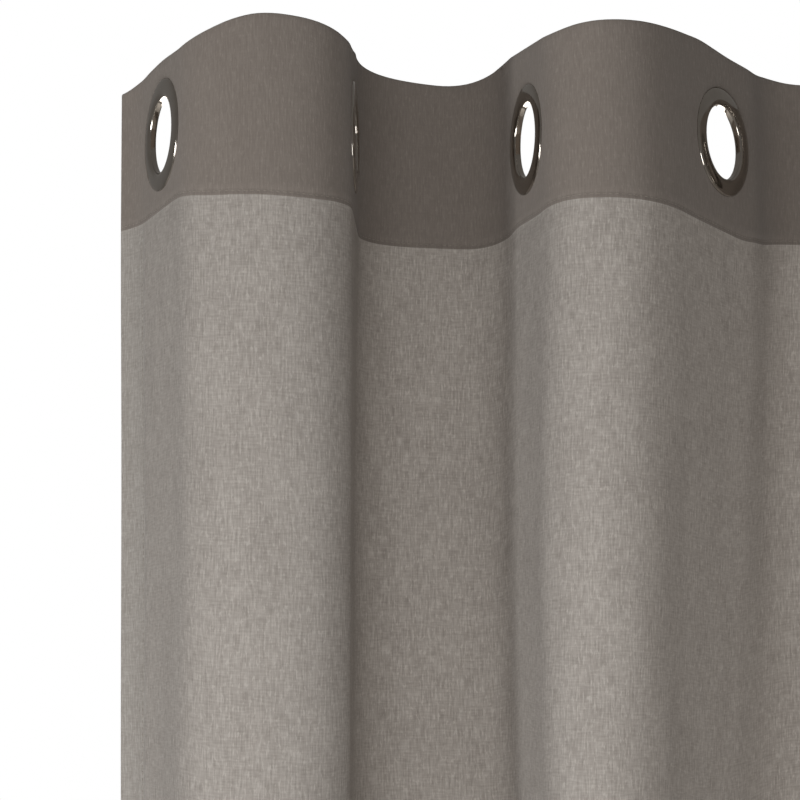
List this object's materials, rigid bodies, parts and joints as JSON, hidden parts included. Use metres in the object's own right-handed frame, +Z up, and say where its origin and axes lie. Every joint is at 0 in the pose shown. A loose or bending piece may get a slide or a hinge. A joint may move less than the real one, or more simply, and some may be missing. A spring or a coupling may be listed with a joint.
{
  "type": "eyelet curtain panel",
  "caption": "Semi-sheer linen-look curtain panel with a double header and metal eyelets, gathered in even folds along a rod and drawn open or shut like a concertina.",
  "frame": {"origin": "on the axis of the rod that the panel hangs on, where it passes the first (outer) eyelet", "axes": "+X along the rod from the outer side edge to the inner one, +Y towards the wall, +Z up"},
  "size_m": [0.7834, 0.137, 2.4],
  "materials": {
    "cloth": "semi-sheer linen-look weave",
    "stiffener": "non-woven interlining",
    "eyelet_metal": "dark nickel, polished"
  },
  "bodies": {
    "outer_side": {"outer_side_hem": "cloth"},
    "leaf_1": {"cloth_leaf_1": "cloth", "header_front_1": "cloth", "header_stiffener_1": "stiffener", "header_fold_1": "cloth", "bottom_hem_1": "cloth", "eyelet_front_ring_1": "eyelet_metal", "eyelet_back_ring_1": "eyelet_metal"},
    "leaf_2": {"cloth_leaf_2": "cloth", "header_front_2": "cloth", "header_stiffener_2": "stiffener", "header_fold_2": "cloth", "bottom_hem_2": "cloth", "eyelet_front_ring_2": "eyelet_metal", "eyelet_back_ring_2": "eyelet_metal"},
    "leaf_3": {"cloth_leaf_3": "cloth", "header_front_3": "cloth", "header_stiffener_3": "stiffener", "header_fold_3": "cloth", "bottom_hem_3": "cloth", "eyelet_front_ring_3": "eyelet_metal", "eyelet_back_ring_3": "eyelet_metal"},
    "leaf_4": {"cloth_leaf_4": "cloth", "header_front_4": "cloth", "header_stiffener_4": "stiffener", "header_fold_4": "cloth", "bottom_hem_4": "cloth", "eyelet_front_ring_4": "eyelet_metal", "eyelet_back_ring_4": "eyelet_metal"},
    "leaf_5": {"cloth_leaf_5": "cloth", "header_front_5": "cloth", "header_stiffener_5": "stiffener", "header_fold_5": "cloth", "bottom_hem_5": "cloth", "eyelet_front_ring_5": "eyelet_metal", "eyelet_back_ring_5": "eyelet_metal"},
    "leaf_6": {"cloth_leaf_6": "cloth", "header_front_6": "cloth", "header_stiffener_6": "stiffener", "header_fold_6": "cloth", "bottom_hem_6": "cloth", "eyelet_front_ring_6": "eyelet_metal", "eyelet_back_ring_6": "eyelet_metal"},
    "leaf_7": {"cloth_leaf_7": "cloth", "header_front_7": "cloth", "header_stiffener_7": "stiffener", "header_fold_7": "cloth", "bottom_hem_7": "cloth", "eyelet_front_ring_7": "eyelet_metal", "eyelet_back_ring_7": "eyelet_metal"},
    "leaf_8": {"cloth_leaf_8": "cloth", "header_front_8": "cloth", "header_stiffener_8": "stiffener", "header_fold_8": "cloth", "bottom_hem_8": "cloth", "eyelet_front_ring_8": "eyelet_metal", "eyelet_back_ring_8": "eyelet_metal", "inner_side_hem": "cloth"}
  },
  "joints": [
    {"name": "draw", "type": "hinge", "parent": "outer_side", "child": "leaf_1", "pos_m": [0, 0, -0.0125], "axis": [0, 0, 1], "range_deg": [-22, 25]},
    {"name": "fold_1_2", "type": "hinge", "parent": "leaf_1", "child": "leaf_2", "pos_m": [0.0528, -0.06007, -0.0125], "axis": [0, 0, 1], "range_deg": [-51, 45]},
    {"name": "fold_2_3", "type": "hinge", "parent": "leaf_2", "child": "leaf_3", "pos_m": [0.1538, 0.06251, -0.0125], "axis": [0, 0, 1], "range_deg": [-45, 51]},
    {"name": "fold_3_4", "type": "hinge", "parent": "leaf_3", "child": "leaf_4", "pos_m": [0.25776, -0.05881, -0.0125], "axis": [0, 0, 1], "range_deg": [-51, 45]},
    {"name": "fold_4_5", "type": "hinge", "parent": "leaf_4", "child": "leaf_5", "pos_m": [0.36584, 0.066, -0.0125], "axis": [0, 0, 1], "range_deg": [-45, 51]},
    {"name": "fold_5_6", "type": "hinge", "parent": "leaf_5", "child": "leaf_6", "pos_m": [0.47169, -0.06386, -0.0125], "axis": [0, 0, 1], "range_deg": [-51, 45]},
    {"name": "fold_6_7", "type": "hinge", "parent": "leaf_6", "child": "leaf_7", "pos_m": [0.57472, 0.06786, -0.0125], "axis": [0, 0, 1], "range_deg": [-45, 51]},
    {"name": "fold_7_8", "type": "hinge", "parent": "leaf_7", "child": "leaf_8", "pos_m": [0.67672, -0.06571, -0.0125], "axis": [0, 0, 1], "range_deg": [-51, 45]}
  ],
  "couplings": [
    {"joint": "fold_1_2", "follows": "draw", "ratio": -2},
    {"joint": "fold_2_3", "follows": "draw", "ratio": 2},
    {"joint": "fold_3_4", "follows": "draw", "ratio": -2},
    {"joint": "fold_4_5", "follows": "draw", "ratio": 2},
    {"joint": "fold_5_6", "follows": "draw", "ratio": -2},
    {"joint": "fold_6_7", "follows": "draw", "ratio": 2},
    {"joint": "fold_7_8", "follows": "draw", "ratio": -2}
  ]
}
